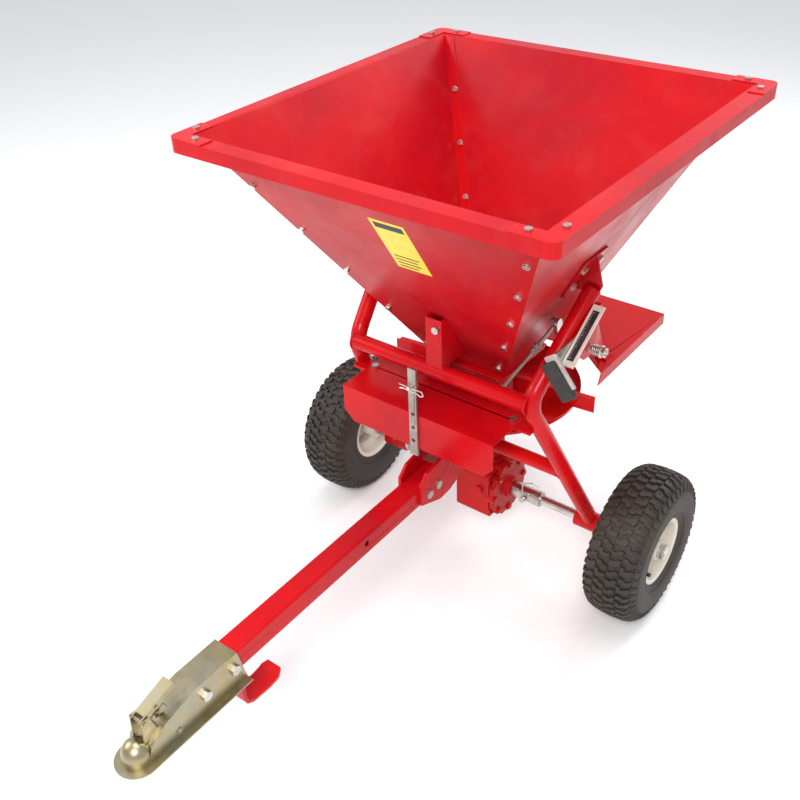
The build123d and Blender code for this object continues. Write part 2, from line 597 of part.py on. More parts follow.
def bevel_gear(teeth, mate, bore, hub):
    """Bevel gear on +Z with its cone's tip at the origin: a toothed rim on a conical blank."""
    pitch_r, height = teeth * MODULE / 2, mate * MODULE / 2
    length = hypot(pitch_r, height)
    face = length * 0.24
    inner = 1 - face / length
    depth = 1.5
    nx, nz = height / length, -pitch_r / length     # unit normal of the cone, out of the blank
    profile = [(bore, height + hub), (pitch_r * 0.72, height + hub),
               (pitch_r - nx * depth, height - nz * depth),
               (pitch_r * inner - nx * depth, height * inner - nz * depth),
               (bore, height * inner - nz * depth)]
    blank = revolve(make_face(Polyline(*[(r, 0, z) for r, z in profile], close=True)), Axis.Z)
    width = pi * MODULE * 0.30
    out_tip, in_tip = Vector(pitch_r, 0, height), Vector(pitch_r * inner, 0, height * inner)
    normal = Vector(nx, 0, nz)
    frame = Plane((out_tip + in_tip) / 2, x_dir=(out_tip - in_tip), z_dir=normal)
    tooth = frame * Pos(0, 0, -depth * 0.55 + 0.15) * Box(face, width, depth * 0.9 + 1.3)
    gear = blank
    for index in range(teeth):
        gear += Rot(0, 0, 360 * index / teeth) * tooth
    return gear


def crown_gear():
    """Large bevel gear, keyed on the input shaft."""
    gear = bevel_gear(CROWN_TEETH, PINION_TEETH, AXLE_R, 8)
    return Location((0, DRIVE_Y, AXLE_Z), (0, 90, 0)) * gear


def pinion_gear():
    """Small bevel gear on the foot of the spinner shaft, turned half a tooth to mesh."""
    gear = Rot(0, 0, 180 / PINION_TEETH) * bevel_gear(PINION_TEETH, CROWN_TEETH, 8.0, 6)
    return Location((0, DRIVE_Y, AXLE_Z)) * gear


def spinner_shaft():
    """Upright shaft from the pinion to the agitator, with the disc's collar."""
    low = AXLE_Z + CROWN_TEETH * MODULE / 2
    shaft = upright(SHAFT_R, 0, DRIVE_Y, low + 7, 668) + upright(8.0, 0, DRIVE_Y, low - 12, low + 9)
    return shaft + upright(32, 0, DRIVE_Y, DISC_Z - 14, DISC_Z)


def spinner_disc():
    """Flat disc with a small turned-up lip."""
    disc = upright(DISC_R, 0, DRIVE_Y, DISC_Z, DISC_Z + DISC_T)
    lip = upright(DISC_R, 0, DRIVE_Y, DISC_Z, DISC_Z + 8)
    lip -= upright(DISC_R - 2.5, 0, DRIVE_Y, DISC_Z, DISC_Z + 9)
    return (disc + lip) - upright(SHAFT_R, 0, DRIVE_Y, DISC_Z - 5, DISC_Z + 20)


def vane(index):
    """Channel-section throwing vane that overhangs the disc's edge."""
    start, thick, foot = 60.0, 2.5, 22.0
    z0 = DISC_Z + DISC_T
    web = block(start, VANE_TIP, -thick / 2, thick / 2, z0, z0 + VANE_H - DISC_T)
    low = block(start, DISC_R - 4, -foot, thick / 2, z0, z0 + thick)
    top = z0 + VANE_H - DISC_T
    high = block(start, VANE_TIP - 8, -foot * 0.6, thick / 2, top - thick, top)
    lip = upright(DISC_R, 0, 0, DISC_Z, DISC_Z + 8) - upright(DISC_R - 2.5, 0, 0, DISC_Z, DISC_Z + 9)
    return Location((0, DRIVE_Y, 0), (0, 0, VANE_ANGLE + 90 * index)) * ((web + low + high) - lip)


def agitator():
    """Hub with four fingers above the hopper floor."""
    hub = upright(22, 0, DRIVE_Y, BASE_Z + 8, BASE_Z + 40) + upright(16, 0, DRIVE_Y, 668, 674)
    hub += upright(16, 0, DRIVE_Y, BASE_Z + 40, 668)
    for turn in range(4):
        angle = radians(90 * turn + 30)
        tip = (54 * cos(angle), DRIVE_Y + 54 * sin(angle), BASE_Z + 16 + 8 * (turn % 2))
        hub += round_bar((0, DRIVE_Y, BASE_Z + 20), tip, 5)
    return hub - upright(SHAFT_R, 0, DRIVE_Y, BASE_Z - 20, 668)


# ---- drive line and wheels ------------------------------------------------------------------------
SLEEVE_IN, SLEEVE_OUT, LINCH_X = 80.0, 158.0, 118.0


def input_hole():
    """Hole for the linch pin."""
    return round_bar((LINCH_X, DRIVE_Y - 60, AXLE_Z), (LINCH_X, DRIVE_Y + 60, AXLE_Z), 4.85)


def input_shaft():
    """Shaft that carries the crown gear and reaches into the sleeve."""
    return across(AXLE_R, -BOX_X - 7, 134, DRIVE_Y, AXLE_Z) - input_hole()


def coupling_sleeve():
    """Sleeve welded on the axle and pinned to the input shaft."""
    sleeve = across(20, SLEEVE_IN, SLEEVE_OUT, DRIVE_Y, AXLE_Z)
    return sleeve - across(AXLE_R, SLEEVE_IN - 2, SLEEVE_OUT + 2, DRIVE_Y, AXLE_Z) - input_hole()


def wheel_axle(inner_end, side):
    """Axle from its inner end out to the wheel nut."""
    return across(AXLE_R, side * inner_end, side * (WHEEL_X + 66), DRIVE_Y, AXLE_Z)


def idler_axle():
    """Right-hand axle with its retaining collar."""
    return wheel_axle(236, -1) + across(20, -BEARING_IN + 0.5, -BEARING_IN + 12.5, DRIVE_Y, AXLE_Z)


def linch_pin():
    """Pin through the sleeve with its bent wire handle."""
    y0 = DRIVE_Y - 29
    pin = round_bar((LINCH_X, y0, AXLE_Z), (LINCH_X, DRIVE_Y + 27, AXLE_Z), 4.5)
    pin += round_bar((LINCH_X, y0 - 3, AXLE_Z), (LINCH_X, y0 + 5, AXLE_Z), 7.5)
    route = FilletPolyline((LINCH_X, y0, AXLE_Z + 5), (LINCH_X, y0, AXLE_Z + 54),
                           (LINCH_X + 26, y0 + 8, AXLE_Z + 58), (LINCH_X + 40, y0 + 12, AXLE_Z + 50),
                           radius=5)
    wire = sweep(Plane((LINCH_X, y0, AXLE_Z + 5), z_dir=(0, 0, 1)) * Circle(1.9), path=route)
    return pin + wire


def rim(side):
    """Pressed steel rim: flanges, bead seats, drop centre, dished disc and hub tube."""
    w, r = 56.0, BEAD_R
    outer = [(-w, r + 15), (-w + 3, r + 15), (-w + 6, r), (-26, r - 2), (-16, r - 16), (16, r - 16),
             (26, r - 2), (w - 6, r), (w - 3, r + 15), (w, r + 15), (w - 3, r - 3), (28, r - 5), (18, r - 19),
             (12, r - 19), (12, 40), (20, 24), (50, 24), (50, AXLE_R), (-62, AXLE_R), (-62, 24),
             (12, 24), (8, 40), (8, r - 19), (-18, r - 19), (-28, r - 5), (-w + 3, r - 3)]
    profile = [(side * a, radius) for a, radius in outer]
    return turned_x(profile, side * WHEEL_X, DRIVE_Y, AXLE_Z)


def tyre(side):
    """Hollow tyre with a rounded tread and bulging walls."""
    half, r = TYRE_W / 2, TYRE_R
    outer = [(-50, BEAD_R + 2), (-55, BEAD_R + 18), (-half + 3, BEAD_R + 36), (-half, r - 62),
             (-half + 2, r - 36), (-half + 9, r - 16), (-half + 20, r - 7), (-40, r - 3.4),
             (-20, r - 0.9), (0, r)]
    inner = [(0, r - 15), (-30, r - 17), (-half + 22, r - 26), (-half + 11, r - 44), (-half + 9, r - 66),
             (-half + 16, BEAD_R + 30), (-43, BEAD_R + 14), (-41, BEAD_R + 0.5)]
    outline = outer + [(-a, radius) for a, radius in reversed(outer[:-1])]
    cavity = inner + [(-a, radius) for a, radius in reversed(inner[1:])]
    body = turned_x(outline, side * WHEEL_X, DRIVE_Y, AXLE_Z)
    hollow = turned_x(cavity, side * WHEEL_X, DRIVE_Y, AXLE_Z)
    return body - hollow - rim(side)


def wheel_nut(side):
    """Washer and nut on the axle's end."""
    x0 = WHEEL_X + 50
    washer = across(20, side * x0, side * (x0 + 3), DRIVE_Y, AXLE_Z)
    face = Plane((side * (x0 + 3), DRIVE_Y, AXLE_Z), z_dir=(side, 0, 0)) * RegularPolygon(19, 6)
    nut = extrude(face, amount=11)
    return (washer + nut) - across(AXLE_R, side * (x0 - 5), side * (x0 + 30), DRIVE_Y, AXLE_Z)


# ---- coupler ------------------------------------------------------------------------------------
def coupler_body():
    """Pressed ball coupler: channel, narrowing nose, dome, socket and an all-round flange."""
    out, wall, brim = 29.0, 3.0, 44.0
    top, low = COUPLER_TOP, COUPLER_LOW
    bar_end, knee, nose = (TOW_FRONT - 4, top), (-1050, 368), (BALL_Y + 14, BALL_Z + 20)
    channel = [(COUPLER_REAR + 17, low), (COUPLER_REAR, top), bar_end, knee, nose, (BALL_Y, low)]
    body = side_plate(channel, -out, out)
    body += upright(out, 0, BALL_Y, low, BALL_Z)
    body += Pos(0, BALL_Y, BALL_Z) * Sphere(out)
    body &= block(-80, 80, BALL_Y - 60, COUPLER_REAR + 30, low, top)
    edge = upright(brim, 0, BALL_Y, low, low + wall)
    edge += block(-brim, brim, BALL_Y, COUPLER_REAR + 16, low, low + wall)
    body += edge
    inside = out - wall
    hollow = [(COUPLER_REAR + 25, low - 5), (COUPLER_REAR + 25, top - wall), (bar_end[0] - 1, top - wall),
              (-1050, 364.5), (BALL_Y + 34, 350), (BALL_Y + 34, low - 5)]
    body -= side_plate(hollow, -inside, inside)
    body -= upright(BALL_R, 0, BALL_Y, low - 5, BALL_Z) + Pos(0, BALL_Y, BALL_Z) * Sphere(BALL_R)
    body -= block(-BALL_R * 0.8, BALL_R * 0.8, BALL_Y + 10, BALL_Y + 40, low - 5, BALL_Z + 12)
    body += across(4, -32, 32, -1026, low + 21) + across(6, -31, -29, -1026, low + 21)
    body += across(6, 29, 31, -1026, low + 21)
    return body - block(-6, 6, -1056, -1024, BALL_Z + 15, top + 5)


def latch_frame():
    """Frame of the coupler handle: +Y runs up its length."""
    return Location((0, LATCH_Y, LATCH_Z), (LATCH_TILT, 0, 0))


def coupler_ears():
    """Pair of lugs on the coupler's back that carry the handle's pivot."""
    lug = [(-1092, 344), (-1060, 356), (-1071, LATCH_Z + 7), (-1089, LATCH_Z + 8)]
    ear = side_plate(lug, 13.4, 16.4)
    pair = ear + mirror(ear, about=Plane.YZ)
    pair += across(4, -18.5, 18.5, LATCH_Y, LATCH_Z)
    return pair


def coupler_latch():
    """Channel-shaped handle over the coupler."""
    long, half = 83.0, 12.6
    top = Pos(0, long / 2 + 4, 8) * Box(2 * half, long - 8, 2.5)
    cheek = Pos(half - 1.25, long / 2 - 4, 2) * Box(2.5, long + 6, 12)
    body = top + cheek + mirror(cheek, about=Plane.YZ)
    body -= Rot(0, 90, 0) * Cylinder(4 + RUN_CLEAR, 60)
    body -= Pos(0, 34, 1.5) * Rot(0, 90, 0) * Cylinder(3 + RUN_CLEAR, 60)
    return latch_frame() * body


def coupler_trigger():
    """Finger trigger inside the handle, on its own cross pin."""
    finger = Pos(0, 8, -2.2) * Box(12, 34, 3) + Pos(0, -8, 1.2) * Box(12, 5, 6)
    pin = Rot(0, 90, 0) * Cylinder(3, 31)
    return latch_frame() * Pos(0, 34, 1.5) * (finger + pin)


def ball_clamp():
    """Jaw behind the ball, on the clamp bolt with its adjusting nut above the coupler."""
    jaw = block(-13, 13, -1071, -1059, BALL_Z - 16, BALL_Z + 4) - Pos(0, BALL_Y, BALL_Z) * Sphere(31)
    arm = block(-9, 9, -1064, -1037, BALL_Z - 10, BALL_Z - 4)
    bolt = upright(4, 0, -1044, BALL_Z - 8, 397)
    nut = Pos(0, -1044, 375) * extrude(RegularPolygon(7, 6), amount=6)
    return jaw + arm + bolt + nut


# ---- fasteners of the frame -----------------------------------------------------------------------
def frame_bolts():
    """Hexagon bolts of the brackets, the shield, the hood, the cheek plates and the coupler."""
    bolts = []
    side = PLATE_X + PLATE_T
    for y, z in ((-228, 366), (-262, 360), (10, 398), (78, 398)):
        bolts.append(hex_bolt((side, y, z), (1, 0, 0), 12, 2 * side))
    for y in (-881, -955):
        bolts.append(hex_bolt((29, y, 352), (1, 0, 0), 12, 58))
    slope = atan2(MOUTH_X - BASE_X, RIM_Z - BASE_Z)
    out = (cos(slope), 0, -sin(slope))
    for end in (-1, 1):
        bolts.append(hex_bolt((end * 189, -160, SHIELD_TOP_Z), (0, 0, 1), 10, SHIELD_T + 6))
        bolts.append(hex_bolt((end * 222, 192, HOOD_Z + 7.5), (0, 0, 1), 10, 7.5))
        for y, z in ((-16, 846), (50, 846), (-16, 890), (50, 890)):
            x = wall_x(z) + 0.4 + 5 * out[0]
            bolts.append(hex_bolt((end * x, y, z + 5 * out[2]), (end * out[0], 0, out[2]), 10, 9))
    bolts.append(hex_bolt((7, -186, 748), (0, -1, 0), 10, 3, nut=False))
    return bolts


# ---- write every node -----------------------------------------------------------------------------
seam, frame_set = seam_bolts(), frame_bolts()
caps = [corner_cap(side, end) for side in (-1, 1) for end in (-1, 1)]
save("hopper_front_panel", drilled(end_panel(-1), seam + caps))
save("hopper_rear_panel", drilled(end_panel(1), seam + caps))
save("hopper_left_panel", drilled(side_panel(1), seam + caps + frame_set))
save("hopper_right_panel", drilled(side_panel(-1), seam + caps + frame_set))
strips = [seam_strip(side, end) - end_panel(end) for side in (-1, 1) for end in (-1, 1)]
save("seam_strips", *[drilled(strip, seam) for strip in strips])
save("corner_caps", *[drilled(cap, seam) for cap in caps])
save("hopper_bolts", *seam)
save("hopper_floor", hopper_floor())
save("shutter_guides", *shutter_guides())
save("shutter_plate", shutter())
save("gate_rod", gate_rod(), *gate_rod_nuts())
save("control_lever", control_lever())
save("lever_grip", lever_grip())
save("lever_shaft", lever_shaft())
save("lever_spring", lever_spring())
save("lever_nuts", lever_nuts())
save("quadrant_bracket", quadrant())
save("scale_plate", scale_plate() - quadrant())
save("side_tube_left", frame_tube(1), drilled(shield_tab(1), frame_set))
save("side_tube_right", frame_tube(-1), drilled(shield_tab(-1), frame_set))
save("crossbar", crossbar())
save("lower_cross_member", joined_tube(CROSS_Y, CROSS_Z, CROSS_R, 269))
save("bearing_tubes", *both_sides(bearing_tube()))
save("shaft_bushes", *axle_bushes(), *gearbox_bushes())
save("front_hopper_bracket", drilled(front_bracket(), frame_set[-1:]))
save("side_hopper_brackets", *[drilled(piece, frame_set) for piece in both_sides(tube_bracket())])
save("cheek_plates", *[drilled(piece, frame_set) for piece in both_sides(cheek_plate())])
save("front_shield", drilled(front_shield(), frame_set))
save("shield_strap", shield_strap())
save("strap_pin", strap_pin())
save("r_clip", r_clip())
save("rear_hood", drilled(rear_hood(), frame_set))
save("hood_stays", *[drilled(piece, frame_set) for piece in both_sides(hood_stay())])
save("draw_bar", drilled(draw_bar(), frame_set))
save("skid_foot", skid_foot())
cover_set = gearbox_bolts()
save("gearbox_housing", drilled(gearbox_housing(), cover_set + frame_set))
save("gearbox_cover", drilled(gearbox_cover(), cover_set))
save("gearbox_bolts", *cover_set)
save("crown_gear", crown_gear())
save("pinion_gear", pinion_gear())
save("spinner_shaft", spinner_shaft())
save("spinner_disc", spinner_disc())
save("spinner_vanes", *[vane(index) for index in range(4)])
save("agitator", agitator())
save("input_shaft", input_shaft())
save("coupling_sleeve", coupling_sleeve())
save("drive_axle", wheel_axle(136, 1))
save("idler_axle", idler_axle())
save("linch_pin", linch_pin())
for side_name, side in (("left", 1), ("right", -1)):
    save(f"rim_{side_name}", rim(side))
    save(f"tyre_{side_name}", tyre(side))
    save(f"wheel_nut_{side_name}", wheel_nut(side))
save("coupler_body", drilled(coupler_body() + coupler_ears(), frame_set))
save("coupler_latch", coupler_latch())
save("coupler_trigger", coupler_trigger())
save("ball_clamp", ball_clamp())
save("frame_bolts", *frame_set)
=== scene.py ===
import json
import math
import random

import bmesh
import bpy
from mathutils import Matrix, Vector


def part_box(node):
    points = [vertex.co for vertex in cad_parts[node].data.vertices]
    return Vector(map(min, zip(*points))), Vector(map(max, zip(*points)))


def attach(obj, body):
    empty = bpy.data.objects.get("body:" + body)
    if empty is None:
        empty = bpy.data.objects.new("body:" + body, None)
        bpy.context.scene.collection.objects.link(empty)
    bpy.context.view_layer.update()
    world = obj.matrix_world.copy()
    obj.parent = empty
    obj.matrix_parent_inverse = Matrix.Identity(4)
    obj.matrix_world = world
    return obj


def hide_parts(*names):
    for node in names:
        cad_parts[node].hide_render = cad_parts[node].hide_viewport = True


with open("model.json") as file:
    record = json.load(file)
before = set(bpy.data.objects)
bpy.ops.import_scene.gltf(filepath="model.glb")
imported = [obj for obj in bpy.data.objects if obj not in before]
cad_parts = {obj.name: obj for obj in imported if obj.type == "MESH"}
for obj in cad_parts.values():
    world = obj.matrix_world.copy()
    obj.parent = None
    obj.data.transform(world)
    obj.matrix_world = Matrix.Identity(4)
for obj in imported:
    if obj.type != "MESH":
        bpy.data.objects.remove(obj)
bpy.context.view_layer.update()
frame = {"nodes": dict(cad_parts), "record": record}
nodes = frame["nodes"]
MM = 0.001
RNG = random.Random(7)

# ---- reference sizes of the part, in mm about the middle of its hopper; +Y is the rear ------------
DRIVE_Y, AXLE_Z = 44, 190.5                        # the spinner's axis, and the axle that crosses it
BASE_X, BASE_FRONT, BASE_Z = 97.0, -52.0, 590.0    # the hopper's floor
MOUTH_X, MOUTH_Y, RIM_Z = 395.5, 419.5, 1169.0     # the hopper's mouth, inside its rim
PANEL_SLOPE = (MOUTH_Y + BASE_FRONT) / (RIM_Z - BASE_Z)
TUBE_R, ELBOW = 19.0, 40                           # side tube, and its elbow's tangent length
TUBE_TOP, TUBE_BEND, TUBE_FOOT = (262, 20, 830), (232, -175, 636), (299, DRIVE_Y, AXLE_Z)
CROSS_R, CROSS_Y, CROSS_Z = 17.0, -58, 396         # lower cross member
BEARING_R = 24.0
LEDGE_X, LEDGE_TOP, LEDGE_LOW = 292.5, (0, -3, 809), (0, -129, 727.5)    # under the scale plate
LEDGE_OUT = Vector((0, -0.543, 0.840))

# ---- where the drawing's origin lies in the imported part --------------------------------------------
tyre_low, tyre_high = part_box("tyre_left")
AXLE = Vector(((tyre_low.x + tyre_high.x) / 2, (tyre_low.y + tyre_high.y) / 2,
               (tyre_low.z + tyre_high.z) / 2))
SHIFT_Y, SHIFT_Z = AXLE.y - DRIVE_Y * MM, AXLE.z - AXLE_Z * MM


def at(x, y, z):
    """A point in metres from millimetres about the hopper's middle."""
    return Vector((x * MM, y * MM + SHIFT_Y, z * MM + SHIFT_Z))


def sided(point, side):
    """A point on the left (side 1) or mirrored to the right (side -1)."""
    return Vector((side * point[0], point[1], point[2]))


# ---- materials ---------------------------------------------------------------------------------
def new_material(name):
    """A bare node material; returns it with a node maker, a linker and its shader."""
    mat = bpy.data.materials.new(name)
    mat.use_nodes = True
    tree = mat.node_tree
    tree.nodes.clear()
    out = tree.nodes.new("ShaderNodeOutputMaterial")
    shader = tree.nodes.new("ShaderNodeBsdfPrincipled")
    tree.links.new(shader.outputs["BSDF"], out.inputs["Surface"])

    return mat, tree.nodes.new, tree.links.new, shader


def noise(node, link, coords, scale, detail=3.0, rough=0.5, distortion=0.0):
    """A 0-1 noise value over the object."""
    made = node("ShaderNodeTexNoise")
    made.inputs["Scale"].default_value = scale
    made.inputs["Detail"].default_value = detail
    made.inputs["Roughness"].default_value = rough
    made.inputs["Distortion"].default_value = distortion
    link(coords, made.inputs["Vector"])
    return made.outputs["Fac"]


def ramp(node, link, source, stops):
    """A colour ramp; stops are (position, colour)."""
    made = node("ShaderNodeValToRGB")
    band = made.color_ramp
    while len(band.elements) < len(stops):
        band.elements.new(0.5)
    for element, (place, colour) in zip(band.elements, stops):
        element.position = place
        element.color = (*colour, 1.0) if len(colour) == 3 else colour
    link(source, made.inputs["Fac"])
    return made.outputs["Color"]


def span(node, link, source, low, high, start=0.0, end=1.0):
    """Maps a 0-1 value from start..end onto low..high."""
    made = node("ShaderNodeMapRange")
    made.inputs["From Min"].default_value = start
    made.inputs["From Max"].default_value = end
    made.inputs["To Min"].default_value = low
    made.inputs["To Max"].default_value = high
    link(source, made.inputs["Value"])
    return made.outputs["Result"]


def bump(node, link, height, shader, strength, distance, before=None):
    """Raises the surface by a height value, on top of an earlier bump if one is given."""
    made = node("ShaderNodeBump")
    made.inputs["Strength"].default_value = strength
    made.inputs["Distance"].default_value = distance
    link(height, made.inputs["Height"])
    if before is not None:
        link(before, made.inputs["Normal"])
    link(made.outputs["Normal"], shader.inputs["Normal"])
    return made.outputs["Normal"]


def mix_colour(node, link, factor, a, b):
    """Blends from a to b; each is a colour or another node's output."""
    made = node("ShaderNodeMix")
    made.data_type = "RGBA"
    link(factor, made.inputs[0])
    for value, socket in ((a, made.inputs[6]), (b, made.inputs[7])):
        if isinstance(value, (tuple, list)):
            socket.default_value = (*value, 1.0)
        else:
            link(value, socket)
    return made.outputs[2]


DUST = (0.55, 0.38, 0.30)


def gloss_paint(name, light, base, dark, rough=(0.2, 0.38), coat=0.10, peel=0.035, dust=0.0,
                specular=0.14):
    """Sprayed gloss paint: slow colour drift, orange peel, faint dust and rubbed patches."""
    mat, node, link, shader = new_material(name)
    coords = node("ShaderNodeTexCoord").outputs["Object"]
    drift = noise(node, link, coords, 3.2, 4.0, 0.55, 0.3)
    colour = ramp(node, link, drift, [(0.3, dark), (0.52, base), (0.74, light)])
    speck = noise(node, link, coords, 55.0, 6.0, 0.7)
    colour = mix_colour(node, link, span(node, link, speck, 0.0, 0.20, 0.60, 0.78), colour,
                        tuple(c * 0.45 for c in dark))
    if dust:
        film = noise(node, link, coords, 7.0, 8.0, 0.68, 0.6)
        film = span(node, link, film, 0.0, dust, 0.5, 0.75)
        colour = mix_colour(node, link, film, colour, DUST)
    link(colour, shader.inputs["Base Color"])
    smear = noise(node, link, coords, 11.0, 7.0, 0.65, 0.8)
    link(span(node, link, smear, rough[0], rough[1], 0.35, 0.7), shader.inputs["Roughness"])
    shader.inputs["Coat Weight"].default_value = coat
    shader.inputs["Coat Roughness"].default_value = 0.12
    shader.inputs["Specular IOR Level"].default_value = specular
    wave = bump(node, link, noise(node, link, coords, 38.0, 2.0, 0.4), shader, peel * 3.0, 0.002)
    bump(node, link, noise(node, link, coords, 420.0, 2.0, 0.5), shader, peel * 4.0, 0.0004, wave)
    return mat


def zinc(name, tints, rough=(0.28, 0.5), metallic=1.0, scale=14.0, scratch=0.12):
    """Plated steel: patchy passivation colour, fine scratches and dull spots."""
    mat, node, link, shader = new_material(name)
    coords = node("ShaderNodeTexCoord").outputs["Object"]
    patch = noise(node, link, coords, scale, 6.0, 0.62, 0.9)
    stops = [(0.28 + 0.44 * i / max(1, len(tints) - 1), tint) for i, tint in enumerate(tints)]
    colour = ramp(node, link, patch, stops)
    spot = noise(node, link, coords, 160.0, 5.0, 0.75)
    colour = mix_colour(node, link, span(node, link, spot, 0.0, 0.55, 0.62, 0.76), colour,
                        tuple(c * 0.35 for c in tints[0]))
    link(colour, shader.inputs["Base Color"])
    shader.inputs["Metallic"].default_value = metallic
    smear = noise(node, link, coords, 31.0, 7.0, 0.7, 0.4)
    link(span(node, link, smear, rough[0], rough[1], 0.3, 0.7), shader.inputs["Roughness"])
    stretch = node("ShaderNodeMapping")
    stretch.inputs["Scale"].default_value = (260.0, 18.0, 260.0)
    link(coords, stretch.inputs["Vector"])
    lines = noise(node, link, stretch.outputs["Vector"], 1.0, 3.0, 0.6)
    bump(node, link, lines, shader, scratch, 0.0006)
    return mat


def turned_steel(name, tint, rough=(0.2, 0.36)):
    """Ground or turned shaft steel with fine rings and light oil."""
    mat, node, link, shader = new_material(name)
    coords = node("ShaderNodeTexCoord").outputs["Object"]
    patch = noise(node, link, coords, 22.0, 6.0, 0.65, 0.5)
    oiled, polished = tuple(c * 0.62 for c in tint), tuple(min(1.0, c * 1.15) for c in tint)
    colour = ramp(node, link, patch, [(0.3, oiled), (0.55, tint), (0.8, polished)])
    link(colour, shader.inputs["Base Color"])
    shader.inputs["Metallic"].default_value = 1.0
    link(span(node, link, patch, rough[1], rough[0], 0.3, 0.7), shader.inputs["Roughness"])
    stretch = node("ShaderNodeMapping")
    stretch.inputs["Scale"].default_value = (900.0, 30.0, 30.0)
    link(coords, stretch.inputs["Vector"])
    rings = noise(node, link, stretch.outputs["Vector"], 1.0, 2.0, 0.5)
    bump(node, link, rings, shader, 0.10, 0.0004)
    return mat


def rubber(name):
    """Outdoor tyre rubber: brown-black with dried dust in a fine grain."""
    mat, node, link, shader = new_material(name)
    coords = node("ShaderNodeTexCoord").outputs["Object"]
    patch = noise(node, link, coords, 9.0, 8.0, 0.7, 0.6)
    colour = ramp(node, link, patch, [(0.25, (0.012, 0.010, 0.009)), (0.5, (0.030, 0.023, 0.018)),
                                      (0.78, (0.075, 0.055, 0.040))])
    grit = noise(node, link, coords, 210.0, 6.0, 0.75)
    grit = span(node, link, grit, 0.0, 0.5, 0.56, 0.78)
    colour = mix_colour(node, link, grit, colour, (0.12, 0.085, 0.06))
    link(colour, shader.inputs["Base Color"])
    link(span(node, link, patch, 0.5, 0.78, 0.3, 0.75), shader.inputs["Roughness"])
    shader.inputs["Specular IOR Level"].default_value = 0.42
    fine = bump(node, link, noise(node, link, coords, 900.0, 3.0, 0.6), shader, 0.25, 0.0005)
    bump(node, link, noise(node, link, coords, 60.0, 4.0, 0.6), shader, 0.12, 0.0010, fine)
    return mat


def plastic(name, dark, light, rough=(0.42, 0.62), grain=420.0):
    """Moulded plastic with a leather grain and rubbed high spots."""
    mat, node, link, shader = new_material(name)
    coords = node("ShaderNodeTexCoord").outputs["Object"]
    patch = noise(node, link, coords, 40.0, 6.0, 0.65, 0.4)
    link(ramp(node, link, patch, [(0.3, dark), (0.75, light)]), shader.inputs["Base Color"])
    link(span(node, link, patch, rough[0], rough[1], 0.3, 0.7), shader.inputs["Roughness"])
    cells = node("ShaderNodeTexVoronoi")
    cells.inputs["Scale"].default_value = grain
    link(coords, cells.inputs["Vector"])
    bump(node, link, cells.outputs["Distance"], shader, 0.15, 0.0005)
    return mat


RED = gloss_paint("red_gloss", (0.60, 0.008, 0.006), (0.50, 0.003, 0.006), (0.37, 0.002, 0.007))
RED_INSIDE = gloss_paint("red_hopper", (0.54, 0.008, 0.008), (0.45, 0.003, 0.008), (0.34, 0.002, 0.009),
                         rough=(0.28, 0.44), coat=0.06, dust=0.04)
RED_CAST = gloss_paint("red_casting", (0.48, 0.008, 0.006), (0.38, 0.003, 0.006), (0.27, 0.002, 0.006),
                       rough=(0.25, 0.5), coat=0.12, peel=0.10)
CREAM = gloss_paint("cream_rim", (0.78, 0.75, 0.67), (0.68, 0.65, 0.57), (0.55, 0.51, 0.43),
                    rough=(0.3, 0.5), coat=0.15, dust=0.12, specular=0.4)
YELLOW_ZINC = zinc("yellow_zinc", [(0.24, 0.23, 0.17), (0.38, 0.32, 0.18), (0.35, 0.33, 0.25),
                                   (0.32, 0.33, 0.23)], rough=(0.26, 0.46))
GREY_ZINC = zinc("grey_zinc", [(0.26, 0.22, 0.20), (0.38, 0.33, 0.30), (0.48, 0.44, 0.40)],
                 rough=(0.38, 0.6))
BRIGHT_ZINC = zinc("bright_zinc", [(0.42, 0.40, 0.37), (0.56, 0.53, 0.50), (0.68, 0.66, 0.62)],
                   rough=(0.24, 0.42))
STEEL = turned_steel("shaft_steel", (0.66, 0.64, 0.60))
IRON = zinc("gear_iron", [(0.10, 0.09, 0.08), (0.20, 0.19, 0.18), (0.26, 0.25, 0.24)],
            rough=(0.35, 0.6))
BRONZE = turned_steel("bush_bronze", (0.60, 0.40, 0.18))
RUBBER = rubber("tyre_rubber")
BLACK = plastic("black_grip", (0.008, 0.008, 0.008), (0.035, 0.033, 0.030))
PALE = zinc("scale_backing", [(0.60, 0.57, 0.50), (0.72, 0.70, 0.63), (0.80, 0.78, 0.72)],
            rough=(0.35, 0.5), metallic=0.25, scratch=0.05)
INK = plastic("scale_ink", (0.010, 0.010, 0.012), (0.03, 0.03, 0.032), grain=900.0)
LABEL = plastic("label_yellow", (0.80, 0.56, 0.02), (0.90, 0.68, 0.05), rough=(0.3, 0.45), grain=1200.0)
FLOOR = plastic("floor_pale", (0.84, 0.84, 0.84), (0.88, 0.88, 0.88), rough=(0.55, 0.7), grain=60.0)

BY_SLOT = {
    "red_paint": RED, "red_casting": RED_CAST, "yellow_zinc": YELLOW_ZINC, "grey_zinc": GREY_ZINC,
    "bright_zinc": BRIGHT_ZINC, "ground_steel": STEEL, "gear_iron": IRON, "bronze": BRONZE,
    "cream_paint": CREAM, "tyre_rubber": RUBBER, "black_grip": BLACK, "scale_metal": PALE,
}
slot_of = {part["node"]: part["material_slot"] for part in frame["record"]["subparts"]}
HOPPER = ("hopper_front_panel", "hopper_rear_panel", "hopper_left_panel", "hopper_right_panel")


def dress(obj, mat):
    """Gives an object one material."""
    obj.data.materials.clear()
    obj.data.materials.append(mat)


for name, obj in nodes.items():
    dress(obj, RED_INSIDE if name in HOPPER else BY_SLOT[slot_of[name]])


